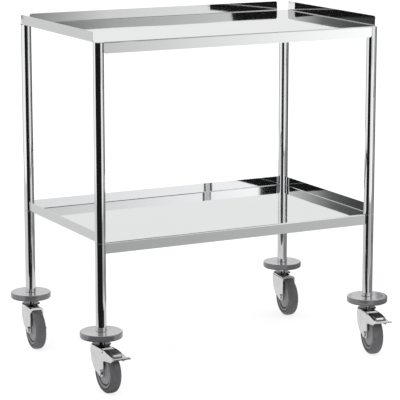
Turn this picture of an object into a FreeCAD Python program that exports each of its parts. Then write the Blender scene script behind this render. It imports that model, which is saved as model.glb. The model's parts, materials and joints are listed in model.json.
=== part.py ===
"""Instrument trolley: two stainless trays on four round legs, with bumper discs and swivel casters.

Millimetres, +Z up. X runs along the trolley, left to right, and Y from its front to its back.
The origin is on the floor, under the middle of the bounding box.
Each caster is drawn in its own frame: X is the way it trails, Y lies along its axle, and Z = 0
is the floor under the swivel axis.
"""

import FreeCAD
import Part
import Sketcher
import math
import os
from types import SimpleNamespace

V = FreeCAD.Vector

doc = FreeCAD.newDocument("instrument_trolley")
sheet = doc.addObject("Spreadsheet::Sheet", "sizes")


class Size:
    """A length or angle, held both as a formula on the sheet's cells and as its present number."""

    def __init__(self, text, number):
        self.text = text
        self.number = number

    def __add__(self, other):
        other = size(other)
        return Size(f"({self.text} + {other.text})", self.number + other.number)

    def __sub__(self, other):
        other = size(other)
        return Size(f"({self.text} - {other.text})", self.number - other.number)

    def __mul__(self, other):
        other = size(other)
        return Size(f"({self.text} * {other.text})", self.number * other.number)

    def __truediv__(self, other):
        other = size(other)
        return Size(f"({self.text} / {other.text})", self.number / other.number)

    def __neg__(self):
        return Size(f"(-1 * {self.text})", -self.number)

    def __radd__(self, other):
        return size(other) + self

    def __rsub__(self, other):
        return size(other) - self

    def __rmul__(self, other):
        return size(other) * self


def size(value):
    return value if isinstance(value, Size) else Size(repr(float(value)), float(value))


def root(value):
    return Size(f"sqrt({value.text})", math.sqrt(value.number))


def bind(thing, path, value):
    """Ties one property of an object, or one datum of a sketch, to a formula."""
    thing.setExpression(path, size(value).text)


# Driving dimensions

DIMENSIONS = {
    # frame
    "leg_span_x": 725, "leg_span_y": 425, "leg_radius": 12.5, "leg_wall": 1.5,
    "top_level": 810, "lower_level": 347,
    # folded trays
    "shelf_sheet": 1.2, "bend_radius": 1.5, "bend_land": 0.5, "rim_height": 23, "skirt_depth": 26,
    "rim_corner": 5, "plate_corner": 3, "lower_overhang": 4, "weld_gap": 0.2,
    "side_rim_front_gap": 4, "side_rim_back_gap": 0, "back_rim_gap": 15,
    # stiffening channel under each tray
    "channel_width": 60, "channel_depth": 15, "channel_flange": 14, "channel_end_gap": 60,
    # bumper discs, and the bush in each leg that takes the caster's stem
    "bumper_radius": 50, "bumper_height": 15, "bumper_edge": 2.5,
    "bush_length": 25, "stem_clearance": 0.1, "stem_radius": 5,
    # swivel head
    "neck_radius": 8, "neck_height": 14, "pin_radius": 6, "pin_head_radius": 9, "pin_head": 3,
    "running_gap": 0.06, "seat_gap": 0.2, "race_radius": 19, "race_height": 1.5,
    "cap_radius": 22.5, "cap_height": 2.3, "cap_edge": 1.8, "trail": 35,
    # wheel
    "wheel_radius": 50, "tyre_width": 25, "shoulder_width": 6, "shoulder_height": 5,
    "hub_radius": 36, "web_inset": 3, "boss_radius": 12, "boss_reach": 14, "axle_radius": 4,
    "nut_across": 13, "bolt_head": 5, "nut_height": 8, "axle_end": 2,
    # fork
    "fork_inner": 30, "fork_sheet": 2.5, "crown_sheet": 3, "crown_clearance": 3, "fork_rear": 20,
    "fork_end_radius": 9.5, "fork_end_land": 0.1, "fork_bend": 7, "brake_fork_bend": 4, "cut_margin": 5,
    "throat_back": 7, "throat_radius": 8, "waist_back": 4, "waist_radius": 14,
    "spine_inset": 2, "spine_rise": 18, "spine_radius": 24,
    "heel_back": 3, "heel_drop": 14, "heel_radius": 20,
    # turned-down front lip of a fork without a brake
    "lip_depth": 2.4, "lip_leg": 1.8, "lip_leg_drop": 9, "lip_radius": 5,
    # arms of a fork with a brake
    "brake_crown": 33, "shoulder_reach": 9, "shoulder_drop": 1, "shoulder_radius": 8,
    "arm_drop": 8, "arm_depth": 13, "tip_slope": 4, "tip_drop": 3.5, "tip_under": 13, "tip_radius": 2,
    "root_reach": 5.5, "root_drop": 4, "root_radius": 6, "root_join": 6.5,
    # brake pedal
    "pedal_sheet": 1.5, "pedal_side_gap": 0.4, "pedal_sink": 1.5, "pedal_back_gap": 1, "pivot_reach": 38,
    "pedal_flat": 6, "pedal_bend": 10, "pedal_fall": 5, "pedal_lobe": 6, "lobe_reach": 3, "lobe_radius": 4,
    "cheek_reach": 10, "cheek_drop": 4, "cheek_radius": 8, "cheek_front": 2.5, "pedal_reach": 109,
    "rivet_radius": 2.5, "rivet_head_radius": 4, "rivet_head": 1.2,
    # foot plate and embossed block of the pedal
    "neck_length": 11.5, "weld_lap": 2, "foot_length": 9.5, "foot_clearance": 1.5, "foot_half_width": 22,
    "foot_sheet": 2.5, "foot_drop": 1, "toe_back": 2, "toe_drop": 3, "toe_rise": 1.5, "toe_radius": 3,
    "block_half_width": 9, "block_rise": 3, "block_end_gap": 1, "block_slope": 2, "block_radius": 1,
    # brake shoe
    "shoe_gap": 3.6, "shoe_start": 12, "shoe_length": 12, "shoe_drop": 8, "shoe_half_width": 10,
    # the way that each caster trails, in degrees from +X towards the front
    "heading_front_left": 89, "heading_front_right": 100.5,
    "heading_rear_left": 94, "heading_rear_right": 96,
}

for row, (alias, amount) in enumerate(DIMENSIONS.items(), start=1):
    sheet.set(f"A{row}", alias.replace("_", " "))
    sheet.set(f"B{row}", str(amount))
    sheet.setAlias(f"B{row}", alias)
doc.recompute()
d = SimpleNamespace(**{alias: Size(f"sizes.{alias}", float(sheet.get(alias))) for alias in DIMENSIONS})


# Heights and places that follow from them

half_x = d.leg_span_x / 2
half_y = d.leg_span_y / 2
fold = d.bend_radius + d.shelf_sheet
skirt_gap = d.weld_gap + root(d.leg_radius * d.leg_radius - (d.leg_radius - fold) * (d.leg_radius - fold))
middle_y = (d.pedal_reach - d.bumper_radius) / 2
crown_under = 2 * d.wheel_radius + d.crown_clearance
crown_top = crown_under + d.crown_sheet
race_under = crown_top + d.running_gap
cap_under = race_under + d.race_height
cap_top = cap_under + d.cap_height
bumper_under = cap_top + d.neck_height
bumper_top = bumper_under + d.bumper_height
fork_half = d.fork_inner / 2
fork_outer = fork_half + d.fork_sheet
tyre_half = d.tyre_width / 2
fork_nose = d.trail + d.fork_end_radius
pivot_level = 2 * d.wheel_radius
pedal_top = crown_top - d.pedal_sink
foot_back = d.pedal_reach - d.foot_length
pedal_front = foot_back - d.neck_length
arm_reach = foot_back - d.foot_clearance
shoe_back = d.pivot_reach + d.shoe_start
shoe_front = shoe_back + d.shoe_length
corners = {
    "front_left": (-1, -1), "front_right": (1, -1), "rear_left": (-1, 1), "rear_right": (1, 1),
}
heading = {
    "front_left": d.heading_front_left, "front_right": d.heading_front_right,
    "rear_left": d.heading_rear_left, "rear_right": d.heading_rear_right,
}


# Sketching and solid features

def new_body(label):
    made = doc.addObject("PartDesign::Body", label)
    made.Label = label
    return made


def origin_plane(owner, role):
    return next(f for f in owner.Origin.OriginFeatures if f.Role == role)


def new_sketch(owner, role, lift=0, shift=None):
    """A sketch on an origin plane, lifted along the plane's normal and moved within it."""
    sketch = owner.newObject("Sketcher::SketchObject", "profile")
    sketch.AttachmentSupport = [(origin_plane(owner, role), "")]
    sketch.MapMode = "FlatFace"
    bind(sketch, "AttachmentOffset.Base.z", lift)
    if shift:
        bind(sketch, "AttachmentOffset.Base.x", shift[0])
        bind(sketch, "AttachmentOffset.Base.y", shift[1])
    return sketch


def fix_point(sketch, part, end, x, y):
    """Places a point of the sketch by formulas, measured from its origin."""
    for kind, value in (("DistanceX", x), ("DistanceY", y)):
        place = sketch.addConstraint(Sketcher.Constraint(kind, -1, 1, part, end, value.number))
        bind(sketch, f"Constraints[{place}]", value)


def add_outline(sketch, points):
    """A closed outline through points (x, y), or (x, y, radius) where a corner is rounded."""
    first = len(sketch.Geometry)
    spots = [(size(p[0]), size(p[1])) for p in points]
    radii = [size(p[2]) if len(p) > 2 else None for p in points]
    flat = [V(x.number, y.number, 0) for x, y in spots]
    count = len(points)
    arrive, leave = list(flat), list(flat)
    for i in range(count):
        if radii[i]:
            back = (flat[i - 1] - flat[i]).normalize()
            ahead = (flat[(i + 1) % count] - flat[i]).normalize()
            cut = radii[i].number / math.tan(back.getAngle(ahead) / 2)
            arrive[i] = flat[i] + back * cut
            leave[i] = flat[i] + ahead * cut
    for i in range(count):
        sketch.addGeometry(Part.LineSegment(leave[i], arrive[(i + 1) % count]), False)
    for i in range(count):
        before, after = first + (i - 1) % count, first + i
        if not radii[i]:
            sketch.addConstraint(Sketcher.Constraint("Coincident", before, 2, after, 1))
            fix_point(sketch, after, 1, *spots[i])
            continue
        radius = radii[i].number
        back, ahead = arrive[i] - flat[i], leave[i] - flat[i]
        inward = (back + ahead).normalize()
        centre = flat[i] + inward * math.hypot(radius, back.Length)
        turn = [math.atan2(p.y - centre.y, p.x - centre.x) for p in (arrive[i], leave[i])]
        anticlockwise = back.cross(ahead).z < 0
        if not anticlockwise:
            turn.reverse()
        arc = sketch.addGeometry(
            Part.ArcOfCircle(Part.Circle(centre, V(0, 0, 1), radius), turn[0], turn[1]), False)
        corner = sketch.addGeometry(Part.Point(flat[i]), True)
        start, end = (1, 2) if anticlockwise else (2, 1)
        sketch.addConstraint(Sketcher.Constraint("Tangent", before, 2, arc, start))
        sketch.addConstraint(Sketcher.Constraint("Tangent", arc, end, after, 1))
        sketch.addConstraint(Sketcher.Constraint("PointOnObject", corner, 1, before))
        sketch.addConstraint(Sketcher.Constraint("PointOnObject", corner, 1, after))
        place = sketch.addConstraint(Sketcher.Constraint("Radius", arc, radius))
        bind(sketch, f"Constraints[{place}]", radii[i])
        fix_point(sketch, corner, 1, *spots[i])


def add_circle(sketch, x, y, radius):
    x, y, radius = size(x), size(y), size(radius)
    ring = sketch.addGeometry(Part.Circle(V(x.number, y.number, 0), V(0, 0, 1), radius.number), False)
    fix_point(sketch, ring, 3, x, y)
    place = sketch.addConstraint(Sketcher.Constraint("Radius", ring, radius.number))
    bind(sketch, f"Constraints[{place}]", radius)


def box_points(x_low, x_high, y_low, y_high):
    return [(x_low, y_low), (x_high, y_low), (x_high, y_high), (x_low, y_high)]


def pad(owner, sketch, length, both_ways=False, downward=False):
    made = owner.newObject("PartDesign::Pad", "pad")
    made.Profile = sketch
    bind(made, "Length", length)
    made.SideType = "Symmetric" if both_ways else "One side"
    made.Reversed = downward
    return made


def cut(owner, sketch, length=None):
    """Cuts the sketch out of the body, evenly to both sides of its plane."""
    made = owner.newObject("PartDesign::Pocket", "cut")
    made.Profile = sketch
    made.SideType = "Symmetric"
    if length is None:
        made.Type = "ThroughAll"
    else:
        bind(made, "Length", length)
    return made


def turned(label, points, role="XZ_Plane", lift=0, shift=None):
    """A body turned about the upright axis of its sketch; points are (radius, along the axis)."""
    made = new_body(label)
    sketch = new_sketch(made, role, lift, shift)
    add_outline(sketch, points)
    turn = made.newObject("PartDesign::Revolution", "turn")
    turn.Profile = sketch
    turn.ReferenceAxis = (sketch, ["V_Axis"])
    turn.Angle = 360
    return made


def round_edges(owner, feature, middles, radius):
    """Rounds the edges of a feature whose middles lie at the given points."""
    doc.recompute()
    names = []
    for middle in middles:
        spot = Part.Vertex(V(*[size(c).number for c in middle]))
        gaps = [edge.distToShape(spot)[0] + edge.CenterOfMass.distanceToPoint(spot.Point)
                for edge in feature.Shape.Edges]
        names.append(f"Edge{gaps.index(min(gaps)) + 1}")
    made = owner.newObject("PartDesign::Fillet", "round")
    made.Base = (feature, names)
    bind(made, "Radius", radius)
    return made


def place(made, x, y, z, turn=None):
    for axis, value in zip("xyz", (x, y, z)):
        bind(made, f"Placement.Base.{axis}", value)
    if turn is not None:
        made.Placement.Rotation = FreeCAD.Rotation(V(0, 0, 1), 1)
        bind(made, "Placement.Rotation.Angle", turn)


def place_at_leg(made, corner, z=0):
    side_x, side_y = corners[corner]
    place(made, side_x * half_x, middle_y + side_y * half_y, z)


def place_at_caster(made, corner):
    side_x, side_y = corners[corner]
    place(made, side_x * half_x, middle_y + side_y * half_y, 0, -heading[corner])


def mirrored_outline(points):
    """Half an outline, (radius, distance along the axis), repeated on the other side of zero."""
    return points + [(p[0], -size(p[1]), *p[2:]) for p in reversed(points)]


def hexagon(across):
    """Corners of a hexagon, point up, by its size across the flats."""
    reach = across / root(size(3))
    half = across / 2
    return [(0, reach), (-half, reach / 2), (-half, -reach / 2),
            (0, -reach), (half, -reach / 2), (half, reach / 2)]


# Folded trays: rims up on three sides, a skirt down at the front

def tray(label, overhang, gaps):
    """A tray of folded sheet, standing out from the leg axes by the overhang.

    The gaps are how far each flange stops short of the leg axes at its ends.
    """
    made = new_body(label)
    edge_x, edge_y = half_x + overhang, half_y + overhang
    bend = fold + d.bend_land
    side_low, side_high = gaps["side_front"] - half_y, half_y - gaps["side_back"]
    back_end = half_x - gaps["back"]
    skirt_end = half_x - gaps["skirt"]

    plate = new_sketch(made, "XY_Plane")
    add_outline(plate, [
        (-edge_x, -edge_y), (-skirt_end, -edge_y), (-skirt_end, bend - edge_y),
        (skirt_end, bend - edge_y), (skirt_end, -edge_y), (edge_x, -edge_y),
        (edge_x, side_low), (edge_x - bend, side_low), (edge_x - bend, side_high), (edge_x, side_high),
        (edge_x, edge_y), (back_end, edge_y), (back_end, edge_y - bend),
        (-back_end, edge_y - bend), (-back_end, edge_y), (-edge_x, edge_y),
        (-edge_x, side_high), (bend - edge_x, side_high), (bend - edge_x, side_low), (-edge_x, side_low),
    ])
    pad(made, plate, d.shelf_sheet, downward=True)

    def upright(outward, edge):
        """Section of a rim: the edge is the outer face, and outward is its sign."""
        inner = edge - d.shelf_sheet
        return [(outward * (edge - bend), -d.shelf_sheet), (outward * edge, -d.shelf_sheet, fold),
                (outward * edge, d.rim_height), (outward * inner, d.rim_height),
                (outward * inner, 0, d.bend_radius), (outward * (edge - bend), 0)]

    for outward in (-1, 1):
        section = new_sketch(made, "XZ_Plane", lift=-side_high)
        add_outline(section, upright(outward, edge_x))
        pad(made, section, side_high - side_low)
    section = new_sketch(made, "YZ_Plane", lift=-back_end)
    add_outline(section, upright(1, edge_y))
    pad(made, section, 2 * back_end)
    section = new_sketch(made, "YZ_Plane", lift=-skirt_end)
    add_outline(section, [
        (bend - edge_y, 0), (-edge_y, 0, fold), (-edge_y, -d.skirt_depth),
        (d.shelf_sheet - edge_y, -d.skirt_depth), (d.shelf_sheet - edge_y, -d.shelf_sheet, d.bend_radius),
        (bend - edge_y, -d.shelf_sheet),
    ])
    folded = pad(made, section, 2 * skirt_end)
    return made, folded, (edge_x, edge_y, side_low, side_high, back_end, skirt_end)


def top_tray():
    gaps = {"side_front": d.side_rim_front_gap, "side_back": d.side_rim_back_gap,
            "back": d.back_rim_gap, "skirt": skirt_gap}
    made, folded, ends = tray("top_shelf", d.leg_radius, gaps)
    edge_x, edge_y, side_low, side_high, back_end, skirt_end = ends
    half = d.shelf_sheet / 2
    tips = [(side * (edge_x - half), y, d.rim_height) for side in (-1, 1) for y in (side_low, side_high)]
    tips += [(side * back_end, edge_y - half, d.rim_height) for side in (-1, 1)]
    tips += [(side * skirt_end, half - edge_y, -d.skirt_depth) for side in (-1, 1)]
    rounded = round_edges(made, folded, tips, d.rim_corner)
    plate_corners = [(sx * edge_x, sy * edge_y, -half) for sx in (-1, 1) for sy in (-1, 1)]
    round_edges(made, rounded, plate_corners, d.plate_corner)
    place(made, 0, middle_y, d.top_level)


def lower_tray():
    gaps = {key: size(0) for key in ("side_front", "side_back", "back", "skirt")}
    made, folded, ends = tray("lower_shelf", d.lower_overhang, gaps)
    around_legs = new_sketch(made, "XY_Plane")
    for side_x, side_y in corners.values():
        add_circle(around_legs, side_x * half_x, side_y * half_y, d.leg_radius + d.weld_gap)
    cut(made, around_legs)
    place(made, 0, middle_y, d.lower_level)


def stiffening_channel(label, level):
    """Hat-shaped channel, spot-welded lengthways under a tray."""
    made = new_body(label)
    half, flange, sheet_ = d.channel_width / 2, d.channel_flange, d.shelf_sheet
    right = [(half + flange, 0), (half + flange, -sheet_), (half, -sheet_, d.bend_radius),
             (half, -d.channel_depth, d.bend_radius + sheet_)]
    inside = [(half - sheet_, sheet_ - d.channel_depth, d.bend_radius),
              (half - sheet_, 0, d.bend_radius + sheet_)]
    points = (right + [(-p[0], *p[1:]) for p in reversed(right)]
              + [(-p[0], *p[1:]) for p in reversed(inside)] + inside)
    section = new_sketch(made, "YZ_Plane")
    add_outline(section, points)
    pad(made, section, d.leg_span_x - 2 * d.channel_end_gap, both_ways=True)
    place(made, 0, middle_y, level - d.shelf_sheet)


# Legs, bumper discs and swivel heads

def leg(corner):
    """Tube with a welded bush in its lower end, bored for the caster's stem."""
    bore, tube_bore = d.stem_radius + d.stem_clearance, d.leg_radius - d.leg_wall
    length = d.top_level - d.shelf_sheet - bumper_top
    made = turned(f"leg_{corner}", [
        (bore, 0), (d.leg_radius, 0), (d.leg_radius, length), (tube_bore, length),
        (tube_bore, d.bush_length), (bore, d.bush_length),
    ])
    place_at_leg(made, corner, bumper_top)


def bumper(corner):
    bore, edge = d.stem_radius + d.stem_clearance, d.bumper_edge
    made = turned(f"bumper_{corner}", [
        (bore, 0), (d.bumper_radius, 0), (d.bumper_radius, d.bumper_height - edge),
        (d.bumper_radius - edge, d.bumper_height), (bore, d.bumper_height),
    ])
    place_at_leg(made, corner, bumper_under)


def stem(corner):
    """Riveted swivel pin, neck and the shank that goes up into the leg, turned in one."""
    pin_low = crown_under - d.seat_gap
    shank_top = bumper_top + d.bush_length
    made = turned(f"caster_stem_{corner}", [
        (0, pin_low - d.pin_head), (d.pin_head_radius, pin_low - d.pin_head), (d.pin_head_radius, pin_low),
        (d.pin_radius, pin_low), (d.pin_radius, cap_top), (d.neck_radius, cap_top),
        (d.neck_radius, bumper_under), (d.stem_radius, bumper_under), (d.stem_radius, shank_top),
        (0, shank_top),
    ])
    place_at_leg(made, corner)


def swivel_cap(corner):
    """Bright cap with the ball race under it, which runs on the fork's crown."""
    bore, edge = d.pin_radius + d.running_gap, d.cap_edge
    made = turned(f"swivel_cap_{corner}", [
        (bore, race_under), (d.race_radius, race_under), (d.race_radius, cap_under),
        (d.cap_radius, cap_under), (d.cap_radius, cap_top - edge), (d.cap_radius - edge, cap_top),
        (bore, cap_top),
    ])
    place_at_leg(made, corner)


# Forks

def fork_outline(braked):
    """Side view of a fork: above the crown it is open, so that the crown keeps its own top."""
    above = crown_top + d.cut_margin
    end_low = d.wheel_radius - d.fork_end_radius
    rear = [
        (fork_nose, end_low, d.fork_end_radius - d.fork_end_land),
        (d.trail - d.throat_back, end_low, d.throat_radius),
        (-d.waist_back, d.wheel_radius, d.waist_radius),
        (d.spine_inset - d.fork_rear, d.wheel_radius + d.spine_rise, d.spine_radius),
        (-d.heel_back - d.fork_rear, crown_top - d.heel_drop, d.heel_radius),
        (-d.fork_rear, above),
    ]
    if not braked:
        return rear + [(fork_nose, above)]
    arm_top = crown_top - d.arm_drop
    arm_low = arm_top - d.arm_depth
    return rear + [
        (d.brake_crown, above), (d.brake_crown, crown_top),
        (d.pivot_reach + d.shoulder_reach, crown_top - d.shoulder_drop, d.shoulder_radius),
        (arm_reach - d.tip_slope, arm_top, d.tip_radius), (arm_reach, arm_top - d.tip_drop, d.tip_radius),
        (arm_reach - d.tip_under, arm_low, d.tip_radius),
        (fork_nose + d.root_reach, arm_low - d.root_drop, d.root_radius), (fork_nose, arm_low - d.root_join),
    ]


def front_lip(made):
    """The crown's front edge turned down, arched over the tyre and running into the two cheeks."""
    lip = new_sketch(made, "YZ_Plane", lift=fork_nose - d.fork_sheet)
    half, inner = fork_half + d.fork_sheet / 2, fork_half - d.lip_leg
    top, arch = crown_under + d.crown_sheet / 2, crown_under - d.lip_depth
    foot = crown_under - d.lip_leg_drop
    add_outline(lip, [
        (-half, foot), (-inner, foot), (-inner, arch, d.lip_radius), (inner, arch, d.lip_radius),
        (inner, foot), (half, foot), (half, top - d.fork_bend / 2), (inner, top),
        (-inner, top), (-half, top - d.fork_bend / 2),
    ])
    pad(made, lip, d.fork_sheet)


def fork(corner, braked):
    """A channel bent over the wheel, cut to its outline, then bored for the pin and the axle."""
    made = new_body(f"fork_{corner}")
    bend = d.brake_fork_bend if braked else d.fork_bend
    low = d.wheel_radius - d.fork_end_radius - d.cut_margin
    section = new_sketch(made, "YZ_Plane", lift=arm_reach / 2 - d.fork_rear)
    add_outline(section, [
        (-fork_outer, low), (-fork_outer, crown_top, bend), (fork_outer, crown_top, bend), (fork_outer, low),
        (fork_half, low), (fork_half, crown_under, bend - d.fork_sheet),
        (-fork_half, crown_under, bend - d.fork_sheet), (-fork_half, low),
    ])
    pad(made, section, 2 * arm_reach, both_ways=True)
    side = new_sketch(made, "XZ_Plane")
    reach = 3 * arm_reach
    add_outline(side, box_points(-reach, reach, -reach, reach))
    add_outline(side, fork_outline(braked))
    cut(made, side)
    if braked:
        between_arms = new_sketch(made, "XY_Plane", lift=crown_top)
        add_outline(between_arms, box_points(d.brake_crown, arm_reach * 2, -fork_half, fork_half))
        cut(made, between_arms, 4 * d.crown_sheet)
        pivots = new_sketch(made, "XZ_Plane")
        add_circle(pivots, d.pivot_reach, pivot_level, d.rivet_radius + d.running_gap)
        cut(made, pivots)
    else:
        front_lip(made)
    pin_hole = new_sketch(made, "XY_Plane", lift=crown_top)
    add_circle(pin_hole, 0, 0, d.pin_radius + d.running_gap)
    cut(made, pin_hole, 4 * d.crown_sheet)
    axle_hole = new_sketch(made, "XZ_Plane")
    add_circle(axle_hole, d.trail, d.wheel_radius, d.axle_radius + d.running_gap)
    cut(made, axle_hole)
    place_at_caster(made, corner)


# Wheel and axle, turned about the axle

def axle_turned(name, corner, points):
    made = turned(f"{name}_{corner}", points, role="XY_Plane", lift=d.wheel_radius, shift=(d.trail, size(0)))
    place_at_caster(made, corner)
    return made


def tyre(corner):
    shoulder = d.wheel_radius - d.shoulder_height
    axle_turned("tyre", corner, mirrored_outline([
        (d.hub_radius, tyre_half), (shoulder, tyre_half),
        (d.wheel_radius - d.shoulder_height / 4, tyre_half - d.shoulder_width / 2),
        (d.wheel_radius, tyre_half - d.shoulder_width),
    ]))


def wheel_hub(corner):
    web = tyre_half - d.web_inset
    axle_turned("wheel_hub", corner, mirrored_outline([
        (d.axle_radius + d.running_gap, d.boss_reach), (d.boss_radius, d.boss_reach),
        (d.boss_radius, web), (d.hub_radius, web),
    ]))


def axle_bolt(corner):
    """Hexagon bolt, its head on the trolley's left and its end showing past the nut."""
    made = new_body(f"axle_bolt_{corner}")
    head = new_sketch(made, "XZ_Plane", lift=fork_outer, shift=(d.trail, d.wheel_radius))
    add_outline(head, hexagon(d.nut_across))
    pad(made, head, d.bolt_head)
    shank = new_sketch(made, "XZ_Plane", lift=fork_outer, shift=(d.trail, d.wheel_radius))
    add_circle(shank, 0, 0, d.axle_radius)
    pad(made, shank, 2 * fork_outer + d.nut_height + d.axle_end, downward=True)
    place_at_caster(made, corner)


def axle_nut(corner):
    made = new_body(f"axle_nut_{corner}")
    body = new_sketch(made, "XZ_Plane", lift=-fork_outer, shift=(d.trail, d.wheel_radius))
    add_outline(body, hexagon(d.nut_across))
    add_circle(body, 0, 0, d.axle_radius + d.running_gap)
    pad(made, body, d.nut_height, downward=True)
    place_at_caster(made, corner)


# Brake pedal of the front casters

def pedal_surface(x):
    """Height of the pedal's sloping top, which starts past the pivot."""
    start = d.pivot_reach + d.pedal_flat
    return pedal_top - (x - start) * d.pedal_fall / (pedal_front - start)


def pedal_profile(inset, low):
    """Side view of the pedal's channel, drawn in by the inset on top and let down by the other."""
    back = d.brake_crown + d.pedal_back_gap
    lobe_low = pivot_level - d.pedal_lobe - low
    return [
        (back, pedal_top - inset), (d.pivot_reach + d.pedal_flat, pedal_top - inset, d.pedal_bend),
        (pedal_front, pedal_top - d.pedal_fall - inset),
        (pedal_front, pedal_top - d.pedal_fall - d.cheek_front - inset - low),
        (d.pivot_reach + d.cheek_reach, pivot_level - d.cheek_drop - low, d.cheek_radius),
        (d.pivot_reach + d.lobe_reach, lobe_low, d.lobe_radius), (back, lobe_low),
    ]


def brake_pedal(corner):
    """Pressed channel with cheeks at the rivets, an embossed block and a wide foot in front."""
    made = new_body(f"brake_pedal_{corner}")
    cheek = fork_half - d.pedal_side_gap
    side = new_sketch(made, "XZ_Plane")
    add_outline(side, pedal_profile(size(0), size(0)))
    pad(made, side, 2 * cheek, both_ways=True)
    hollow = new_sketch(made, "XZ_Plane")
    add_outline(hollow, pedal_profile(d.pedal_sheet, d.pedal_lobe))
    cut(made, hollow, 2 * (cheek - d.pedal_sheet))
    neck_top = pedal_top - d.pedal_fall
    foot_top = neck_top - d.foot_drop
    neck = new_sketch(made, "XZ_Plane")
    add_outline(neck, [
        (pedal_front - d.weld_lap, neck_top), (foot_back + d.weld_lap, foot_top),
        (foot_back + d.weld_lap, foot_top - d.foot_sheet),
        (pedal_front - d.weld_lap, neck_top - d.foot_sheet),
    ])
    pad(made, neck, 2 * cheek, both_ways=True)
    foot = new_sketch(made, "XZ_Plane")
    toe = d.pedal_reach - d.toe_back
    add_outline(foot, [
        (foot_back, foot_top), (toe, neck_top - d.toe_drop, d.toe_radius),
        (d.pedal_reach, neck_top - d.toe_rise), (d.pedal_reach, neck_top - d.toe_rise - d.foot_sheet),
        (toe, neck_top - d.toe_drop - d.foot_sheet, d.toe_radius), (foot_back, foot_top - d.foot_sheet),
    ])
    pad(made, foot, 2 * d.foot_half_width, both_ways=True)
    block = new_sketch(made, "XZ_Plane")
    block_back, block_front = shoe_front + d.block_end_gap, pedal_front - d.block_end_gap
    sunk = d.pedal_sheet / 2
    add_outline(block, [
        (block_back, pedal_surface(block_back) - sunk),
        (block_back + d.block_slope, pedal_surface(block_back) + d.block_rise, d.block_radius),
        (block_front - d.block_slope, pedal_surface(block_front) + d.block_rise, d.block_radius),
        (block_front, pedal_surface(block_front) - sunk),
    ])
    pad(made, block, 2 * d.block_half_width, both_ways=True)
    pivots = new_sketch(made, "XZ_Plane")
    add_circle(pivots, d.pivot_reach, pivot_level, d.rivet_radius + d.running_gap)
    cut(made, pivots)
    place_at_caster(made, corner)


def pedal_rivets(corner):
    """The two short rivets that the pedal turns on, one in each cheek."""
    made = new_body(f"pedal_rivets_{corner}")
    shank_in = fork_half - d.pedal_side_gap - d.pedal_sheet
    for side in (-1, 1):
        shank = new_sketch(made, "XZ_Plane", lift=side * shank_in, shift=(d.pivot_reach, pivot_level))
        add_circle(shank, 0, 0, d.rivet_radius)
        pad(made, shank, fork_outer - shank_in + d.rivet_head / 2, downward=side < 0)
        head = new_sketch(made, "XZ_Plane", lift=side * fork_outer, shift=(d.pivot_reach, pivot_level))
        add_circle(head, 0, 0, d.rivet_head_radius)
        pad(made, head, d.rivet_head, downward=side < 0)
    place_at_caster(made, corner)


def brake_shoe(corner):
    """Block under the pedal, hollowed to the tyre's curve."""
    made = new_body(f"brake_shoe_{corner}")
    side = new_sketch(made, "XZ_Plane")
    under = d.pedal_sheet + d.running_gap
    add_outline(side, [
        (shoe_back, pivot_level - d.shoe_drop), (shoe_front, pivot_level - d.shoe_drop),
        (shoe_front, pedal_surface(shoe_front) - under), (shoe_back, pedal_surface(shoe_back) - under),
    ])
    pad(made, side, 2 * d.shoe_half_width, both_ways=True)
    tyre_path = new_sketch(made, "XZ_Plane")
    add_circle(tyre_path, d.trail, d.wheel_radius, d.wheel_radius + d.shoe_gap)
    cut(made, tyre_path)
    place_at_caster(made, corner)


# The whole trolley

top_tray()
lower_tray()
stiffening_channel("top_stiffener", d.top_level)
stiffening_channel("lower_stiffener", d.lower_level)
for corner in corners:
    braked = corner.startswith("front")
    leg(corner)
    bumper(corner)
    stem(corner)
    swivel_cap(corner)
    fork(corner, braked)
    tyre(corner)
    wheel_hub(corner)
    axle_bolt(corner)
    axle_nut(corner)
    if braked:
        brake_pedal(corner)
        pedal_rivets(corner)
        brake_shoe(corner)
doc.recompute()

for thing in doc.Objects:
    if {"Invalid", "Error"} & set(thing.State):
        raise RuntimeError(f"{thing.Name} ({thing.Label}) did not compute: {thing.State}")
bodies = [thing for thing in doc.Objects if thing.TypeId == "PartDesign::Body"]
for made in bodies:
    if made.Shape.isNull() or not made.Shape.isValid():
        raise RuntimeError(f"{made.Label} has no valid shape")

os.makedirs("parts", exist_ok=True)
for made in bodies:
    made.Shape.exportStep(f"parts/{made.Label}.step")
print(f"{len(bodies)} sub-parts written")
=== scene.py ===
import json
import math

import bpy
from mathutils import Matrix, Vector


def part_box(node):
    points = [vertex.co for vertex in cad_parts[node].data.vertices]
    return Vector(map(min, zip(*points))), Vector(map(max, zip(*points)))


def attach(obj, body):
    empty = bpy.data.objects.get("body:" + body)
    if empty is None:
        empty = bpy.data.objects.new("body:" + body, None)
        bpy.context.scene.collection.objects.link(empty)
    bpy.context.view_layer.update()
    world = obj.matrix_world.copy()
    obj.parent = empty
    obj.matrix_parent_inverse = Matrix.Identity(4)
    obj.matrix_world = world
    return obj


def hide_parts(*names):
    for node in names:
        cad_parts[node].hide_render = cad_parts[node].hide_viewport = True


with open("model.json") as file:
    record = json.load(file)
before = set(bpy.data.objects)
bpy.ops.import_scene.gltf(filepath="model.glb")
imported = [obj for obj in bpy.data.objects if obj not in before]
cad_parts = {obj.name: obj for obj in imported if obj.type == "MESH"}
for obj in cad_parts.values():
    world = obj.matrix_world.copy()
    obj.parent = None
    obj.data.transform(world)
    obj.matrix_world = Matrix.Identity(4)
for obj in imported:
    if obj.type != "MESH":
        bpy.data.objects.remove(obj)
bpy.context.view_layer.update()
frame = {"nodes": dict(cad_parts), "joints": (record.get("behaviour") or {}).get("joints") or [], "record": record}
mm = 0.001
print("frame loaded:", len(frame["nodes"]), "nodes")


# Camera and studio

studio = {
    "cameraPlace": (-2.147674, -4.124919, 1.313844), "yaw": 27.392, "pitch": 11.335,
    "lens": 173.741, "sensor": 36.0, "farthest": 100.0,
    "floorSize": 60.0, "floorTone": 0.32, "floorGlow": 0.76, "skyTone": 1.0,
}

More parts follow.
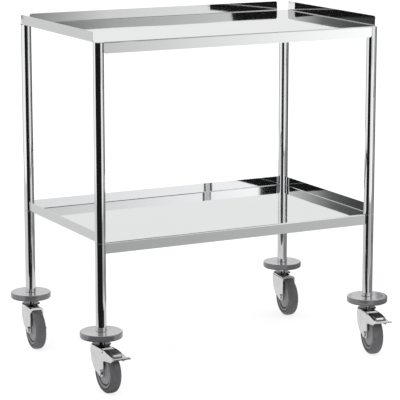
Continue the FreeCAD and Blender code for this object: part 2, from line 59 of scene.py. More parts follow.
# Flags and fill cards around the trolley, which only its glossy surfaces see. Each stands on the floor plan
# from its start to its end, between a lower and an upper edge, with one tone at its start and one at its end.
standingCards = {
    "farBackdrop": ((-2.5, 8.0), (8.0, 4.0), (0.8, 5.0), (0.9, 0.9)),
    "frontLeftFlag": ((-1.08, -0.10), (-0.11, -0.97), (0.0, 1.1), (0.012, 0.012)),
    "frontGapFlag": ((-0.11, -0.97), (0.06, -0.97), (0.78, 1.1), (0.012, 0.012)),
    "frontLowFill": ((-0.10, -0.98), (0.97, -0.98), (0.0, 0.22), (0.42, 0.62)),
    "frontMidFill": ((-0.10, -0.98), (1.10, -0.98), (0.22, 0.60), (0.92, 1.28)),
    "frontSkirtFill": ((-0.10, -0.98), (1.0, -0.98), (0.60, 0.78), (0.60, 1.35)),
    "frontRimFill": ((0.10, -0.98), (0.42, -0.98), (0.78, 0.955), (0.18, 0.82)),
    "frontRimEndFill": ((0.42, -0.98), (0.95, -0.98), (0.78, 0.955), (0.82, 1.02)),
    "frontHighFill": ((0.10, -0.98), (0.45, -0.98), (0.955, 1.12), (0.05, 0.49)),
    "frontHighEndFill": ((0.45, -0.98), (0.95, -0.98), (0.955, 1.12), (0.49, 0.76)),
    "frontRightLowFlag": ((0.95, -0.97), (1.45, -0.97), (0.0, 0.50), (0.01, 0.01)),
    "frontRightRimFlag": ((0.80, -0.97), (1.45, -0.97), (0.50, 0.58), (0.01, 0.01)),
    "frontRightSkirtFlag": ((0.98, -0.97), (1.45, -0.97), (0.58, 0.78), (0.01, 0.01)),
    "frontRightHighFlag": ((0.70, -0.97), (1.45, -0.97), (0.84, 0.90), (0.01, 0.01)),
    "frontRightTopFlag": ((0.855, -0.97), (1.45, -0.97), (0.90, 1.12), (0.01, 0.01)),
    "rightBounce": ((1.6, -0.95), (1.6, -0.3), (0.0, 0.8), (0.50, 0.20)),
    "rightEndBounce": ((1.6, -0.3), (1.6, 0.2), (0.0, 0.8), (0.20, 0.03)),
    "rightFlag": ((1.6, 0.2), (1.6, 1.7), (0.0, 0.8), (0.04, 0.06)),
    "backFlag": ((-1.2, 3.0), (-0.2, 3.0), (0.0, 0.6), (0.09, 0.09)),
    "backLeftFill": ((-2.5, 2.6), (-1.2, 2.6), (0.0, 0.62), (0.72, 0.72)),
    "lowRimFlag": ((-1.0, 2.41), (-1.0, 2.9), (0.62, 0.87), (0.012, 0.012)),
    "lowRimEndFill": ((-1.0, 2.25), (-1.0, 2.41), (0.62, 0.87), (0.15, 0.6)),
    "lowRimFill": ((-1.0, 1.8), (-1.0, 2.25), (0.62, 0.87), (0.01, 0.15)),
    "lowMirrorEndFill": ((-1.0, 2.28), (-1.0, 2.9), (0.87, 1.0), (0.17, 1.2)),
    "lowMirrorFill": ((-1.0, 1.8), (-1.0, 2.28), (0.87, 1.0), (0.02, 0.17)),
    "topRimFlag": ((-1.0, 2.33), (-1.0, 2.9), (1.0, 1.095), (0.012, 0.012)),
    "topRimFill": ((-1.0, 1.8), (-1.0, 2.33), (1.0, 1.095), (0.01, 0.11)),
    "topMirrorEndFill": ((-1.0, 2.37), (-1.0, 2.9), (1.095, 1.4), (0.17, 1.1)),
    "topMirrorFill": ((-1.0, 1.8), (-1.0, 2.37), (1.095, 1.4), (0.0, 0.17)),
}

# how far the upper end of a card's start edge is moved towards its end
cardLeans = {"frontRightRimFlag": 0.24, "frontRightHighFlag": 0.16, "frontRightTopFlag": 0.04}

# Cards that lie level, over the floor or overhead: middle, size, turn about the upright and tone.
levelCards = {
    # painted shade: a sheet darker than the floor, which only glossy surfaces see, stands in for the shaded floor
    # under and around the trolley
    "floorReflectedShade": ((0.0, 0.0, 0.001), (5.0, 5.0), 0.0, 0.72),
    "floorRight": ((1.01, 0.38, 0.002), (1.18, 2.66), 0.0, 0.25),
    "floorFrontLeft": ((-0.39, -0.46, 0.002), (1.1, 0.38), -42.0, 0.03),
    "ceiling": ((-0.9, -0.2, 2.6), (4.6, 7.6), 0.0, 0.35),
}

softLights = {
    "overhead": {"place": (-0.6, -0.8, 2.9), "aim": (0.0, 0.1, 0.4), "size": 1.4, "power": 20.0},
    "frontLeft": {"place": (-2.6, -2.2, 1.9), "aim": (0.0, 0.0, 0.4), "size": 1.2, "power": 16.0},
}


def clearSelection():
    if bpy.context.object and bpy.context.object.mode != "OBJECT":
        bpy.ops.object.mode_set(mode="OBJECT")
    bpy.ops.object.select_all(action="DESELECT")


def pickOnly(obj):
    clearSelection()
    obj.select_set(True)
    bpy.context.view_layer.objects.active = obj


def aimAt(place, target):
    return (Vector(target) - Vector(place)).to_track_quat("-Z", "Y").to_euler()


# Shader maths

mixSockets = {"first": 6, "second": 7, "result": 2}  # the colour sockets of a Mix node


class Wire:
    def __init__(self, finish, socket):
        self.finish = finish
        self.socket = socket

    def maths(self, operation, other, swapped=False):
        values = (other, self) if swapped else (self, other)
        return self.finish.add("ShaderNodeMath", {"operation": operation}, dict(enumerate(values)))

    def __add__(self, other):
        return self.maths("ADD", other)

    def __radd__(self, other):
        return self.maths("ADD", other, True)

    def __sub__(self, other):
        return self.maths("SUBTRACT", other)

    def __rsub__(self, other):
        return self.maths("SUBTRACT", other, True)

    def __mul__(self, other):
        return self.maths("MULTIPLY", other)

    def __rmul__(self, other):
        return self.maths("MULTIPLY", other, True)


class Finish:
    def __init__(self, name):
        self.material = bpy.data.materials.new(name)
        self.material.use_nodes = True
        self.tree = self.material.node_tree
        self.shader = self.tree.nodes["Principled BSDF"]
        self.place = self.add("ShaderNodeTexCoord", {}, {}, "Object")

    def add(self, kind, settings, inputs, output=0):
        node = self.tree.nodes.new(kind)
        for key, value in settings.items():
            setattr(node, key, value)
        for key, value in inputs.items():
            self.plug(node.inputs[key], value)
        return Wire(self, node.outputs[output])

    def plug(self, socket, value):
        if isinstance(value, Wire):
            self.tree.links.new(value.socket, socket)
        else:
            socket.default_value = value

    def feed(self, name, value):
        self.plug(self.shader.inputs[name], value)

    def noise(self, scale, detail=3.0, stretch=None, roughness=0.5):
        place = self.place
        if stretch:
            place = self.add("ShaderNodeMapping", {}, {"Vector": place, "Scale": stretch})
        return self.add("ShaderNodeTexNoise", {}, {
            "Vector": place, "Scale": scale, "Detail": detail, "Roughness": roughness})

    def ramp(self, value, low, high):
        return self.add("ShaderNodeMapRange", {"clamp": True}, {"Value": value, "From Min": low, "From Max": high})

    def mixed(self, factor, first, second):
        inputs = {"Factor": factor}
        for key, colour in (("first", first), ("second", second)):
            inputs[mixSockets[key]] = (*colour, 1.0) if isinstance(colour, tuple) else colour
        return self.add("ShaderNodeMix", {"data_type": "RGBA"}, inputs, mixSockets["result"])

    def bump(self, height, strength, distance):
        self.feed("Normal", self.add("ShaderNodeBump", {}, {
            "Height": height, "Strength": strength, "Distance": distance}))


def grey(tone):
    return (tone, tone, tone)


def floorPaint():
    finish = Finish("paleFloor")
    finish.feed("Base Color", (*grey(studio["floorTone"]), 1.0))
    finish.feed("Roughness", 1.0)
    finish.feed("Specular IOR Level", 0.0)
    finish.feed("Emission Color", (*grey(1.0), 1.0))
    finish.feed("Emission Strength", studio["floorGlow"])
    return finish.material


def cardPaint(name, tones):
    finish = Finish(name)
    corner = finish.add("ShaderNodeTexCoord", {}, {}, "UV")
    across = finish.add("ShaderNodeSeparateXYZ", {}, {"Vector": corner}, "X")
    finish.feed("Base Color", (*grey(0.0), 1.0))
    finish.feed("Specular IOR Level", 0.0)
    finish.feed("Emission Color", finish.mixed(across, grey(tones[0]), grey(tones[1])))
    finish.feed("Emission Strength", 1.0)
    return finish.material


def addCard(name, middle, size, turn, tones):
    clearSelection()
    bpy.ops.mesh.primitive_plane_add(size=1.0, location=middle, rotation=turn)
    card = bpy.context.object
    card.name = name
    card.scale = (*size, 1.0)
    for vertex in card.data.vertices:
        if vertex.co.x < 0.0 < vertex.co.y:
            vertex.co.x += cardLeans.get(name, 0.0) / size[0]
    card.data.materials.append(cardPaint(name + "Paint", tones))
    card.visible_camera = False
    card.visible_diffuse = False
    card.visible_shadow = False


def buildStudio():
    scene = bpy.context.scene
    scene.view_settings.view_transform = "Standard"
    world = bpy.data.worlds.new("paleStudio")
    world.use_nodes = True
    sky = world.node_tree.nodes["Background"]
    sky.inputs["Color"].default_value = (*grey(studio["skyTone"]), 1.0)
    sky.inputs["Strength"].default_value = 1.0
    scene.world = world

    clearSelection()
    bpy.ops.mesh.primitive_plane_add(size=studio["floorSize"])
    floor = bpy.context.object
    floor.name = "studioFloor"
    floor.data.materials.append(floorPaint())

    for name, (start, end, (low, high), tones) in standingCards.items():
        start, end = Vector(start), Vector(end)
        middle, run = (start + end) / 2, end - start
        addCard(name, (middle.x, middle.y, (low + high) / 2), (run.length, high - low),
                (math.pi / 2, 0.0, math.atan2(run.y, run.x)), tones)
    for name, (middle, size, turn, tone) in levelCards.items():
        addCard(name, middle, size, (0.0, 0.0, math.radians(turn)), (tone, tone))

    for name, light in softLights.items():
        clearSelection()
        bpy.ops.object.light_add(
            type="AREA", location=light["place"], rotation=aimAt(light["place"], light["aim"]))
        lamp = bpy.context.object
        lamp.name = name
        lamp.data.size = light["size"]
        lamp.data.energy = light["power"]

    clearSelection()
    bpy.ops.object.camera_add(
        location=studio["cameraPlace"],
        rotation=(math.radians(90.0 - studio["pitch"]), 0.0, -math.radians(studio["yaw"])))
    camera = bpy.context.object
    camera.name = "photoCamera"
    camera.data.lens = studio["lens"]
    camera.data.sensor_width = studio["sensor"]
    camera.data.clip_end = studio["farthest"]
    scene.camera = camera


buildStudio()
print("camera and studio ready")


# Finishes. A plural is the scale of a pattern, the singular beside it how strongly that pattern shows, and
# relief is the strength and depth of the bump.

polish = {
    "tint": (0.805, 0.81, 0.815), "dull": (0.775, 0.78, 0.785), "clouds": 3.0,
    "roughness": 0.035, "smears": 9.0, "smear": 0.05, "hairlines": 260.0, "hairline": 0.008,
    "waves": 3.0, "relief": (1.0, 0.0012),
    "trayGrain": (0.15, 1.0, 1.0), "legGrain": (1.0, 1.0, 0.12),
}


def polishedSteel(name, grain):
    finish = Finish(name)
    cloud = finish.noise(polish["clouds"], 2.0)
    smear = finish.ramp(finish.noise(polish["smears"], 5.0, grain, 0.6), 0.45, 0.8)
    hairline = finish.ramp(finish.noise(polish["hairlines"], 2.0, grain), 0.6, 0.8)
    finish.feed("Base Color", finish.mixed(cloud, polish["tint"], polish["dull"]))
    finish.feed("Metallic", 1.0)
    finish.feed("Roughness", polish["roughness"] + smear * polish["smear"] + hairline * polish["hairline"])
    finish.bump(finish.noise(polish["waves"], 1.0), *polish["relief"])
    return finish.material


plating = {
    "tint": (0.90, 0.90, 0.91), "dull": (0.80, 0.80, 0.80), "roughness": 0.07,
    "clouds": 40.0, "cloud": 0.08, "specks": 420.0, "speck": 0.05, "relief": (0.03, 0.0005),
}


def platedSteel():
    finish = Finish("brightPlating")
    cloud = finish.noise(plating["clouds"])
    speck = finish.noise(plating["specks"], 2.0)
    finish.feed("Base Color", finish.mixed(finish.ramp(cloud, 0.35, 0.7), plating["tint"], plating["dull"]))
    finish.feed("Metallic", 1.0)
    finish.feed("Roughness", plating["roughness"] + cloud * plating["cloud"]
                + finish.ramp(speck, 0.55, 0.75) * plating["speck"])
    finish.bump(speck, *plating["relief"])
    return finish.material


oiled = {
    "dark": (0.07, 0.07, 0.072), "light": (0.16, 0.16, 0.16), "roughness": 0.16,
    "clouds": 60.0, "cloud": 0.12, "grains": 300.0, "relief": (0.04, 0.0004),
}


def raceSteel():
    finish = Finish("oiledRace")
    cloud = finish.noise(oiled["clouds"])
    finish.feed("Base Color", finish.mixed(cloud, oiled["dark"], oiled["light"]))
    finish.feed("Metallic", 1.0)
    finish.feed("Roughness", oiled["roughness"] + cloud * oiled["cloud"])
    finish.bump(finish.noise(oiled["grains"], 2.0), *oiled["relief"])
    return finish.material


pressing = {
    "tint": (0.84, 0.84, 0.84), "worn": (0.92, 0.92, 0.92), "roughness": 0.11,
    "clouds": 55.0, "cloud": 0.08, "scuffs": 150.0, "scuff": 0.08, "grain": (1.0, 0.2, 1.0),
    "relief": (0.04, 0.0004),
}


def pressedSteel():
    finish = Finish("satinPressing")
    cloud = finish.noise(pressing["clouds"])
    scuff = finish.noise(pressing["scuffs"], 4.0, pressing["grain"])
    worn = finish.ramp(scuff, 0.58, 0.7)
    finish.feed("Base Color", finish.mixed(worn, pressing["tint"], pressing["worn"]))
    finish.feed("Metallic", 1.0)
    finish.feed("Roughness", pressing["roughness"] + cloud * pressing["cloud"] + worn * pressing["scuff"])
    finish.bump(scuff, *pressing["relief"])
    return finish.material


bumperLook = {
    # top holds paler colours, a painted sheen on the disc's top face; under is a near-black colour, painted shade on
    # the underside
    "side": ((0.075, 0.072, 0.08), (0.1, 0.096, 0.106)), "top": ((0.24, 0.236, 0.248), (0.31, 0.305, 0.32)),
    "under": (0.02, 0.02, 0.02), "clouds": 14.0, "roughness": 0.5, "glaze": 0.28, "dusts": 90.0, "dust": 0.1,
    "coatIor": 1.9, "coatRoughness": 0.07, "grains": 60.0, "relief": (0.03, 0.001),
    "glazeStart": 0.0005, "glazeEnd": 0.004, "topStart": 0.0009, "topEnd": 0.0004,
}


def bumperRubber():
    # the coat is left off the underside, which stays matt, and the underside is coloured near black as painted shade
    # above the forks; the top is coloured paler as a painted sheen
    look = bumperLook
    finish = Finish("glossyBumper")
    cloud = finish.noise(look["clouds"])
    dust = finish.ramp(finish.noise(look["dusts"], 6.0), 0.5, 0.75)
    height = finish.add("ShaderNodeSeparateXYZ", {}, {"Vector": finish.place}, "Z")
    under, top = (corner.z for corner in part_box("bumper_front_left"))
    glaze = finish.ramp(height, under + look["glazeStart"], under + look["glazeEnd"])
    # painted sheen: the top face takes the paler colours
    paintedTopSheen = finish.ramp(height, top - look["topStart"], top - look["topEnd"])
    body = finish.mixed(paintedTopSheen, finish.mixed(cloud, *look["side"]), finish.mixed(cloud, *look["top"]))
    # painted shade: below the coat's edge the underside takes the near-black colour
    finish.feed("Base Color", finish.mixed(glaze, look["under"], body))
    finish.feed("Roughness", look["roughness"] - glaze * look["glaze"] + dust * look["dust"])
    finish.feed("Coat Weight", glaze)
    finish.feed("Coat IOR", look["coatIor"])
    finish.feed("Coat Roughness", look["coatRoughness"])
    finish.bump(finish.noise(look["grains"], 2.0), *look["relief"])
    return finish.material


tyreLook = {
    "clean": (0.082, 0.079, 0.084), "dusty": (0.15, 0.147, 0.152), "dusts": 70.0, "dust": 0.5,
    "roughness": 0.42, "clouds": 25.0, "cloud": 0.16, "grits": 600.0, "relief": (0.12, 0.0004),
}


def tyreRubber():
    look = tyreLook
    finish = Finish("greyTyre")
    cloud = finish.noise(look["clouds"])
    dust = finish.ramp(finish.noise(look["dusts"], 6.0), 0.5, 0.72)
    finish.feed("Base Color", finish.mixed(dust * look["dust"], look["clean"], look["dusty"]))
    finish.feed("Roughness", look["roughness"] + cloud * look["cloud"])
    finish.bump(finish.noise(look["grits"]), *look["relief"])
    return finish.material


hubLook = {
    "dark": (0.17, 0.168, 0.175), "light": (0.22, 0.217, 0.226), "roughness": 0.32,
    "clouds": 30.0, "cloud": 0.12, "grains": 500.0, "relief": (0.08, 0.0004),
}
shoeLook = {
    "dark": (0.02, 0.02, 0.022), "light": (0.04, 0.04, 0.042), "roughness": 0.5,
    "clouds": 400.0, "cloud": 0.15, "grains": 400.0, "relief": (0.15, 0.0004),
}


def mouldedPlastic(name, look):
    finish = Finish(name)
    cloud = finish.noise(look["clouds"])
    finish.feed("Base Color", finish.mixed(cloud, look["dark"], look["light"]))
    finish.feed("Roughness", look["roughness"] + cloud * look["cloud"])
    finish.bump(finish.noise(look["grains"]), *look["relief"])
    return finish.material


# each finish with the material slot of the record that it stands for
finishes = {
    "trayPolish": (polishedSteel("trayPolish", polish["trayGrain"]), "polished_steel"),
    "legPolish": (polishedSteel("legPolish", polish["legGrain"]), "polished_steel"),
    "plating": (platedSteel(), "plated_steel"),
    "race": (raceSteel(), "plated_steel"),
    "pressing": (pressedSteel(), "pedal_steel"),
    "bumper": (bumperRubber(), "bumper_rubber"),
    "tyre": (tyreRubber(), "tyre_rubber"),
    "hub": (mouldedPlastic("greyHub", hubLook), "hub_plastic"),
    "shoe": (mouldedPlastic("darkShoe", shoeLook), "shoe_plastic"),
}
print("finishes ready:", len(finishes))


# Where each caster stands, read from the frame

cornerNames = ("front_left", "front_right", "rear_left", "rear_right")
brakedCorners = cornerNames[:2]


def casterStand(corner):
    low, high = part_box("leg_" + corner)
    axis = next(j for j in frame["joints"] if j["name"] == "wheel_spin_" + corner)["axis"]
    return {"x": (low.x + high.x) / 2, "y": (low.y + high.y) / 2, "heading": math.atan2(axis[0], axis[1])}


stands = {corner: casterStand(corner) for corner in cornerNames}


def span(node):
    # the lowest and highest level of a node, in mm
    low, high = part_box(node)
    return low.z / mm, high.z / mm


# Modelling helpers

modelling = {
    "crease": 35.0, "flat": 0.5,  # angles that stay sharp and that are dissolved, in degrees
    "mergeDistance": 1e-6, "poleRadius": 0.0005, "roundSteps": 5, "around": 96,
}


def settle(obj):
    pickOnly(obj)
    bpy.ops.object.transform_apply(location=True, rotation=True, scale=True)


def dress(obj, finish, body, *nodes):
    material, slot = finishes[finish]
    obj.data.materials.clear()
    obj.data.materials.append(material)
    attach(obj, body)
    if nodes:
        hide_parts(*nodes)


def smoothByAngle(obj, degrees=modelling["crease"]):
    # the large faces keep their own normals, so that a mirror finish shows them flat
    pickOnly(obj)
    bpy.ops.object.shade_smooth_by_angle(angle=math.radians(degrees))
    weights = obj.modifiers.new("flatFaces", "WEIGHTED_NORMAL")
    weights.mode = "FACE_AREA"
    weights.weight = 100
    weights.keep_sharp = True
    bpy.ops.object.modifier_apply(modifier=weights.name)


def softenEdges(obj, width, segments=2):
    pickOnly(obj)
    bevel = obj.modifiers.new("easedEdges", "BEVEL")
    bevel.width = width * mm
    bevel.segments = segments
    bevel.limit_method = "ANGLE"
    bevel.angle_limit = math.radians(modelling["crease"])
    bpy.ops.object.modifier_apply(modifier=bevel.name)


def roundedProfile(corners):
    # corners are (radius, height) or (radius, height, rounding), in mm, along a closed outline
    made = []
    steps = modelling["roundSteps"]
    for i, corner in enumerate(corners):
        spot = Vector(corner[:2])
        if len(corner) == 2:
            made.append(spot)
            continue
        back = (Vector(corners[i - 1][:2]) - spot).normalized()
        ahead = (Vector(corners[(i + 1) % len(corners)][:2]) - spot).normalized()
        half = back.angle(ahead) / 2
        cut = corner[2] / math.tan(half)
        centre = spot + (back + ahead).normalized() * (corner[2] / math.sin(half))
        first, last = spot + back * cut - centre, spot + ahead * cut - centre
        sweep = first.angle_signed(last)
        for step in range(steps + 1):
            made.append(centre + Matrix.Rotation(-sweep * step / steps, 2) @ first)
    return made


def turnedPiece(name, corners, around=modelling["around"], closed=True):
    # a ring of vertices is extruded and resized from corner to corner, then the ends are joined
    stations = [Vector((max(p.x, modelling["poleRadius"]), p.y)) * mm for p in roundedProfile(corners)]
    clearSelection()
    start = stations[0]
    bpy.ops.mesh.primitive_circle_add(vertices=around, radius=start.x, location=(0.0, 0.0, start.y))
    obj = bpy.context.object
    obj.name = name
    bpy.ops.object.transform_apply(location=True)
    bpy.ops.object.mode_set(mode="EDIT")
    bpy.ops.mesh.select_mode(type="VERT")
    bpy.ops.mesh.select_all(action="SELECT")
    for here, there in zip(stations, stations[1:]):
        bpy.ops.mesh.extrude_region_move(TRANSFORM_OT_translate={"value": (0.0, 0.0, there.y - here.y)})
        growth = there.x / here.x
        bpy.ops.transform.resize(value=(growth, growth, 1.0), center_override=(0.0, 0.0, there.y))
    if closed:
        bpy.ops.object.mode_set(mode="OBJECT")
        for vertex in obj.data.vertices:
            vertex.select = vertex.index // around in (0, len(stations) - 1)
        bpy.ops.object.mode_set(mode="EDIT")
        bpy.ops.mesh.select_mode(type="VERT")
        bpy.ops.mesh.bridge_edge_loops()
    bpy.ops.mesh.select_all(action="SELECT")
    bpy.ops.mesh.remove_doubles(threshold=modelling["mergeDistance"])
    bpy.ops.mesh.normals_make_consistent(inside=False)
    bpy.ops.object.mode_set(mode="OBJECT")
    smoothByAngle(obj)
    return obj


def copyPiece(obj, name):
    copy = obj.copy()
    copy.data = obj.data.copy()
    copy.name = name
    bpy.context.scene.collection.objects.link(copy)
    return copy


def joined(pieces, name):
    clearSelection()
    for piece in pieces:
        piece.select_set(True)
    bpy.context.view_layer.objects.active = pieces[0]
    bpy.ops.object.join()
    whole = bpy.context.object
    whole.name = name
    settle(whole)
    return whole


def mirroredPair(name, corners, around):
    # a turned piece and the same one upside down, as one object
    pair = []
    for turn in (0.0, math.pi):
        piece = turnedPiece(name, corners, around, closed=corners[0][0] > 0.0)
        piece.rotation_euler = (turn, 0.0, 0.0)
        settle(piece)
        pair.append(piece)
    return joined(pair, name + "Pair")


def combine(obj, tool, operation):
    pickOnly(obj)
    merge = obj.modifiers.new("combine", "BOOLEAN")
    merge.operation = operation
    merge.object = tool
    merge.solver = "EXACT"
    bpy.ops.object.modifier_apply(modifier=merge.name)
    bpy.data.objects.remove(tool)


def layAcross(obj, sizes):
    # a piece turned about Z is laid along the caster's own Y, at the axle or the rivets
    obj.rotation_euler = (-math.pi / 2, 0.0, 0.0)
    obj.location = (sizes["reach"] * mm, 0.0, sizes["height"] * mm)
    settle(obj)


def standAtCaster(pattern, corner, name):
    stand = stands[corner]
    obj = copyPiece(pattern, name)
    obj.rotation_euler = (0.0, 0.0, -stand["heading"])
    obj.location = (stand["x"], stand["y"], 0.0)
    settle(obj)
    return obj


def standAtCorners(pattern, corners, name, finish, body, *nodes):
    # body and nodes are named without their corner, and the pattern is removed
    for corner in corners:
        obj = standAtCaster(pattern, corner, f"{name}_{corner}")
        dress(obj, finish, body if body == "frame" else f"{body}_{corner}", *[f"{node}_{corner}" for node in nodes])
    bpy.data.objects.remove(pattern)


easing = {"tray": 0.3, "channel": 0.3, "fork": 0.35, "pedal": 0.3, "shoe": 0.4}


def easedCopy(node, finish, body, width, reshape=None):
    # a merged copy of a folded sheet from the frame, with its sheared edges eased
    obj = bpy.data.objects.new(node + "_eased", frame["nodes"][node].data.copy())
    bpy.context.scene.collection.objects.link(obj)
    pickOnly(obj)
    bpy.ops.object.mode_set(mode="EDIT")
    bpy.ops.mesh.select_all(action="SELECT")
    bpy.ops.mesh.remove_doubles(threshold=modelling["mergeDistance"])
    bpy.ops.mesh.dissolve_limited(angle_limit=math.radians(modelling["flat"]))
    bpy.ops.object.mode_set(mode="OBJECT")
    if reshape:
        reshape(obj, node)
    softenEdges(obj, width)
    smoothByAngle(obj)
    dress(obj, finish, body, node)


# Trays and the channels under them

traySheet = 1.2
rimLean = {"degrees": 1.2, "bend": 2.7, "sheet": 3.2}  # the folded rims spring back a little
beadSizes = {"width": 0.6, "height": 0.5, "sink": 0.2, "belly": 0.45, "around": 96}
spotSizes = {"radius": 2.6, "depth": 0.15, "edge": 0.2, "sink": 0.3, "pitch": 65.0, "inset": 7.0, "around": 24}


def trayLevel(node):
    # the top of a tray's flat sheet, from the mount that rests on it
    surface = node.replace("shelf", "shelf_surface")
    return next(m for m in frame["record"]["mounts"] if m["name"] == surface)["pos_m"][2] / mm


def leanRims(obj, node):
    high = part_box(node)[1]
    foot = (trayLevel(node) + rimLean["bend"]) * mm
    slope = math.tan(math.radians(rimLean["degrees"]))
    for vertex in obj.data.vertices:
        rise = (vertex.co.z - foot) * slope
        if rise <= 0.0:
            continue
        if abs(vertex.co.x) > high.x - rimLean["sheet"] * mm:
            vertex.co.x += math.copysign(rise, vertex.co.x)
        else:
            vertex.co.y += rise


def weldBead(name, level, upward):
    # a low ring of weld in the corner between a leg and a sheet
    b = beadSizes
    inner, rise = legSizes["radius"] - b["sink"], b["height"] * (1 if upward else -1)
    corners = [
        (inner, level), (legSizes["radius"] + b["width"], level),
        (legSizes["radius"] + b["width"] * b["belly"], level + rise * b["belly"]), (inner, level + rise),
    ]
    return turnedPiece(name, corners if upward else corners[::-1], b["around"])


def buildBeads():
    lower = trayLevel("lower_shelf")
    for name, level, upward in (
        ("beadUnderTop", span("leg_front_left")[1], False),
        ("beadOverLower", lower, True),
        ("beadUnderLower", lower - traySheet, False),
    ):
        standAtCorners(weldBead(name, level, upward), cornerNames, name, "legPolish", "frame")


def buildSpotWelds():
    s = spotSizes
    for node in ("top_stiffener", "lower_stiffener"):
        low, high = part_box(node)
        spot = turnedPiece("spot", [
            (0.0, -s["depth"]), (s["radius"], 0.0, s["edge"]), (s["radius"], s["sink"]), (0.0, s["sink"]),
        ], s["around"], closed=False)
        inset = s["inset"] * mm
        run = high.x - low.x - 2 * inset
        count = round(run / (s["pitch"] * mm))
        spots = []
        for y in (low.y + inset, high.y - inset):
            for step in range(count + 1):
                piece = copyPiece(spot, "spot")
                piece.location = (low.x + inset + run * step / count, y, high.z - traySheet * mm)
                spots.append(piece)
        bpy.data.objects.remove(spot)
        dress(joined(spots, node + "_spotWelds"), "trayPolish", "frame")


# Legs and what stands under them

legSizes = {"radius": 12.5, "wall": 1.5, "bush": 25.0, "bore": 5.1, "footRound": 0.5, "around": 128}
bumperSizes = {
    "radius": 50.0, "bore": 5.1, "topRound": 2.0, "lowRound": 3.5, "around": 128,
    "rim": 7.0, "dish": 8.5, "dishDepth": 0.25, "dishRound": 6.0,  # how far the rim and dish lie from the edge
    "seat": 13.4, "seatDepth": 0.6, "seatSlope": 1.6, "slopeRound": 1.0, "seatRound": 0.5,
}
capSizes = {
    "bore": 6.06, "radius": 22.5, "race": 19.0, "raceHeight": 1.5, "raceRound": 0.4, "skirtRound": 0.3, "lip": 1.8,
}
stemSizes = {
    "neck": 8.0, "pin": 6.0, "head": 9.0, "headHeight": 3.0, "shank": 5.0,
    "headRound": 1.5, "neckRound": 0.6, "endRound": 0.8,
}


def buildLegs():
    s = legSizes
    bottom, top = span("leg_front_left")
    inside, bushTop = s["radius"] - s["wall"], bottom + s["bush"]
    leg = turnedPiece("leg", [
        (s["bore"], bottom), (s["radius"], bottom, s["footRound"]), (s["radius"], top), (inside, top),
        (inside, bushTop), (s["bore"], bushTop),
    ], s["around"])
    standAtCorners(leg, cornerNames, "legTube", "legPolish", "frame", "leg")


def buildBumpers():
    b = bumperSizes
    bottom, top = span("bumper_front_left")
    dish, seat = top - b["dishDepth"], top - b["seatDepth"]
    disc = turnedPiece("disc", [
        (b["bore"], bottom), (b["radius"], bottom, b["lowRound"]), (b["radius"], top, b["topRound"]),
        (b["radius"] - b["rim"], top, b["dishRound"]), (b["radius"] - b["dish"], dish, b["dishRound"]),
        (b["seat"] + b["seatSlope"], dish, b["slopeRound"]), (b["seat"], seat, b["seatRound"]), (b["bore"], seat),
    ], b["around"])
    standAtCorners(disc, cornerNames, "bumperDisc", "bumper", "frame", "bumper")


def buildSwivelHeads():
    c = capSizes
    bottom, top = span("swivel_cap_front_left")
    skirt = bottom + c["raceHeight"]
    cap = turnedPiece("cap", [
        (c["bore"], bottom), (c["race"], bottom, c["raceRound"]), (c["race"], skirt),
        (c["radius"], skirt, c["skirtRound"]), (c["radius"], top, c["lip"]), (c["bore"], top),
    ])
    standAtCorners(cap, cornerNames, "swivelCapRound", "race", "frame", "swivel_cap")

    s = stemSizes
    capTop, discUnder = top, span("bumper_front_left")[0]
    bottom, top = span("caster_stem_front_left")
    headTop = bottom + s["headHeight"]
    stem = turnedPiece("stem", [
        (0.0, bottom), (s["head"], bottom, s["headRound"]), (s["head"], headTop), (s["pin"], headTop),
        (s["pin"], capTop), (s["neck"], capTop, s["neckRound"]), (s["neck"], discUnder), (s["shank"], discUnder),
        (s["shank"], top, s["endRound"]), (0.0, top),
    ], closed=False)
    standAtCorners(stem, cornerNames, "casterStemRound", "plating", "frame", "caster_stem")


# Wheels, each outline as radius, half width and rounding, from the inside out

wheelSizes = {
    "reach": 35.0, "height": 50.0, "around": 128,
    "tyre": [
        (36.0, 11.9), (38.6, 12.5, 0.6), (39.4, 11.0, 0.3), (41.0, 11.0, 0.3), (41.8, 12.5, 0.6),
        (45.0, 12.5, 3.0), (49.2, 8.6, 5.0), (50.0, 2.5, 12.0),
    ],
    "hub": [
        (4.06, 14.0), (7.5, 14.0, 0.4), (7.8, 13.4, 0.2), (12.0, 13.2, 1.0), (14.0, 10.7, 1.2),
        (28.6, 9.9, 0.8), (29.4, 6.4, 0.5), (32.4, 6.4, 0.5), (33.0, 11.5, 0.4), (36.0, 11.9),
    ],
}

# dark rings of painted shade laid in the grooves of hub and tyre: inner and outer radius, and the groove's floor
grooveShadeRings = {"hubGrooveShade": (29.3, 32.5, 6.4), "tyreGrooveShade": (39.3, 41.1, 11.0)}
grooveShadeSizes = {"sink": 0.3, "rise": 0.2, "round": 0.15}


def buildWheels():
    w = wheelSizes
    for name, part, finish, node in (
        ("tyreRound", "tyre", "tyre", "tyre"),
        ("wheelHubRound", "hub", "hub", "wheel_hub"),
    ):
        half = w[part]
        piece = turnedPiece(part, half + [(p[0], -p[1], *p[2:]) for p in reversed(half)], w["around"])
        layAcross(piece, w)
        standAtCorners(piece, cornerNames, name, finish, "wheel", node)

    # painted shade: near-black rings laid in the hub's and tyre's grooves
    for name, (inner, outer, floor) in grooveShadeRings.items():
        low, high = floor - grooveShadeSizes["sink"], floor + grooveShadeSizes["rise"]
        rings = mirroredPair("ring", [
            (inner, low), (outer, low), (outer, high, grooveShadeSizes["round"]), (inner, high, grooveShadeSizes["round"]),
        ], w["around"])
        layAcross(rings, w)
        standAtCorners(rings, cornerNames, name, "shoe", "wheel")


# Axles and rivets

